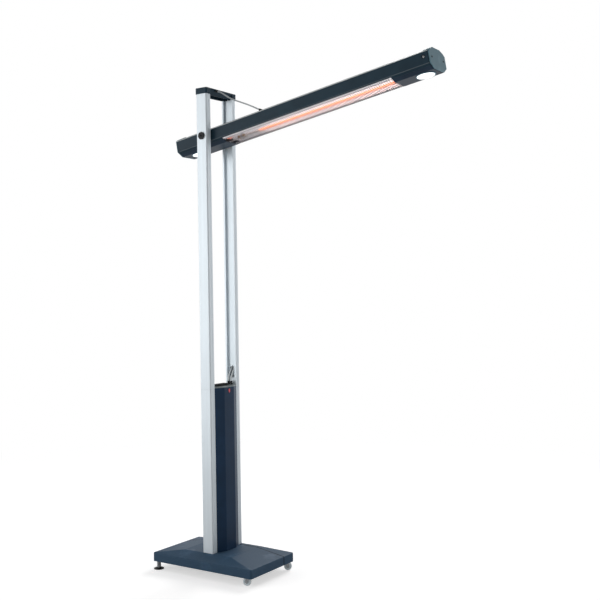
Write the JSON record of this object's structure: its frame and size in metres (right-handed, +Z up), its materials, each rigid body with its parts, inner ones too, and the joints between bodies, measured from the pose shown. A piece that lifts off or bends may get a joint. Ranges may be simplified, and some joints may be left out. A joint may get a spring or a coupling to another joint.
{
  "type": "infrared patio heater tower",
  "caption": "Free-standing outdoor radiant heater: a long tilting arm with a quartz lamp behind a wire grille, held between twin aluminium masts on a weighted base.",
  "frame": {"origin": "on the floor, midway between the two masts", "axes": "+X from the masts along the long side of the heater arm, +Y towards the mast that carries the leads, +Z up"},
  "size_m": [1.4996, 0.36, 2.3674],
  "materials": {
    "slate_plastic": "fine-grained moulded",
    "slate_paint": "fine matt powder coat",
    "slate_aluminium": "fine matt powder coat over aluminium",
    "mast_silver": "satin anodised",
    "chassis_steel": "black powder coat",
    "ballast_iron": "raw",
    "zinc_steel": "zinc plated",
    "bearing_bronze": "sintered bronze",
    "black_plastic": "moulded",
    "black_rubber": "matt",
    "castor_tread": "grey non-marking",
    "lead_sheath": "smooth grey sheath",
    "bright_reflector": "polished",
    "grille_wire": "bright plated wire",
    "quartz": "clear quartz",
    "glowing_element": "glowing orange",
    "lamp_ceramic": "unglazed",
    "spot_lens": "lit white diffuser",
    "circuit_green": "solder-masked board",
    "pilot_red": "clear red moulding"
  },
  "bodies": {
    "stand": {"base_cover_main": "slate_plastic", "base_cover_side": "slate_plastic", "chassis_plate": "chassis_steel", "ballast_plates": "ballast_iron", "mast_feet": "chassis_steel", "mast_foot_bolts": "zinc_steel", "foot_nuts": "zinc_steel", "castor_mounts": "zinc_steel", "mast_right_lower": "mast_silver", "mast_left_lower": "mast_silver", "mast_right_upper": "mast_silver", "mast_left_upper": "mast_silver", "mast_spigots": "zinc_steel", "bridge_yoke": "slate_aluminium", "bridge_hatch": "slate_aluminium", "bridge_grommet": "black_rubber", "box_front": "slate_paint", "box_back": "slate_paint", "box_lid": "black_plastic", "lid_pad": "black_rubber", "pilot_lens": "pilot_red", "box_glands": "black_plastic", "mains_gland": "black_plastic", "control_plate": "zinc_steel", "control_board": "circuit_green", "power_relay": "black_plastic", "led_driver": "black_plastic", "mains_terminals": "lamp_ceramic", "riser_leads": "lead_sheath", "junction_block": "lamp_ceramic", "pivot_bushes": "bearing_bronze"},
    "arm": {"arm_housing": "slate_aluminium", "arm_cover_inner": "slate_aluminium", "arm_cover_outer": "slate_aluminium", "arm_cap_inner": "slate_plastic", "arm_cap_outer": "slate_plastic", "arm_screws": "zinc_steel", "reflector": "bright_reflector", "reflector_ends": "bright_reflector", "lamp_tube": "quartz", "lamp_filament": "glowing_element", "lamp_bases": "lamp_ceramic", "lamp_clips": "zinc_steel", "wire_grille": "grille_wire", "led_bezels": "slate_plastic", "led_lenses": "spot_lens", "led_boards": "circuit_green", "pivot_bolts": "black_plastic", "pivot_plates": "zinc_steel", "pivot_discs": "black_plastic", "arm_gland": "black_plastic", "arm_lead": "lead_sheath"},
    "foot_right": {"foot_right_pad": "black_plastic", "foot_right_stem": "zinc_steel"},
    "foot_left": {"foot_left_pad": "black_plastic", "foot_left_stem": "zinc_steel"},
    "castor_right": {"castor_right_fork": "zinc_steel"},
    "castor_left": {"castor_left_fork": "zinc_steel"},
    "wheel_right": {"castor_right_wheel": "castor_tread"},
    "wheel_left": {"castor_left_wheel": "castor_tread"}
  },
  "joints": [
    {"name": "arm_tilt", "type": "hinge", "parent": "stand", "child": "arm", "pos_m": [0, 0, 2.11], "axis": [0, -1, 0], "range_deg": [-92, 20], "deforming": ["arm_lead"]},
    {"name": "foot_right_level", "type": "slide", "parent": "stand", "child": "foot_right", "axis": [0, 0, 1], "range_m": [-0.008, 0.008]},
    {"name": "foot_left_level", "type": "slide", "parent": "stand", "child": "foot_left", "axis": [0, 0, 1], "range_m": [-0.008, 0.008]},
    {"name": "castor_right_swivel", "type": "hinge", "parent": "stand", "child": "castor_right", "pos_m": [0.27, -0.145, 0.045], "axis": [0, 0, 1], "continuous": true},
    {"name": "castor_left_swivel", "type": "hinge", "parent": "stand", "child": "castor_left", "pos_m": [0.27, 0.145, 0.045], "axis": [0, 0, 1], "continuous": true},
    {"name": "wheel_right_roll", "type": "hinge", "parent": "castor_right", "child": "wheel_right", "pos_m": [0.25744, -0.14836, 0.019], "axis": [0.2588, -0.9659, 0], "continuous": true},
    {"name": "wheel_left_roll", "type": "hinge", "parent": "castor_left", "child": "wheel_left", "pos_m": [0.28065, 0.15246, 0.019], "axis": [-0.5736, 0.8192, 0], "continuous": true}
  ]
}
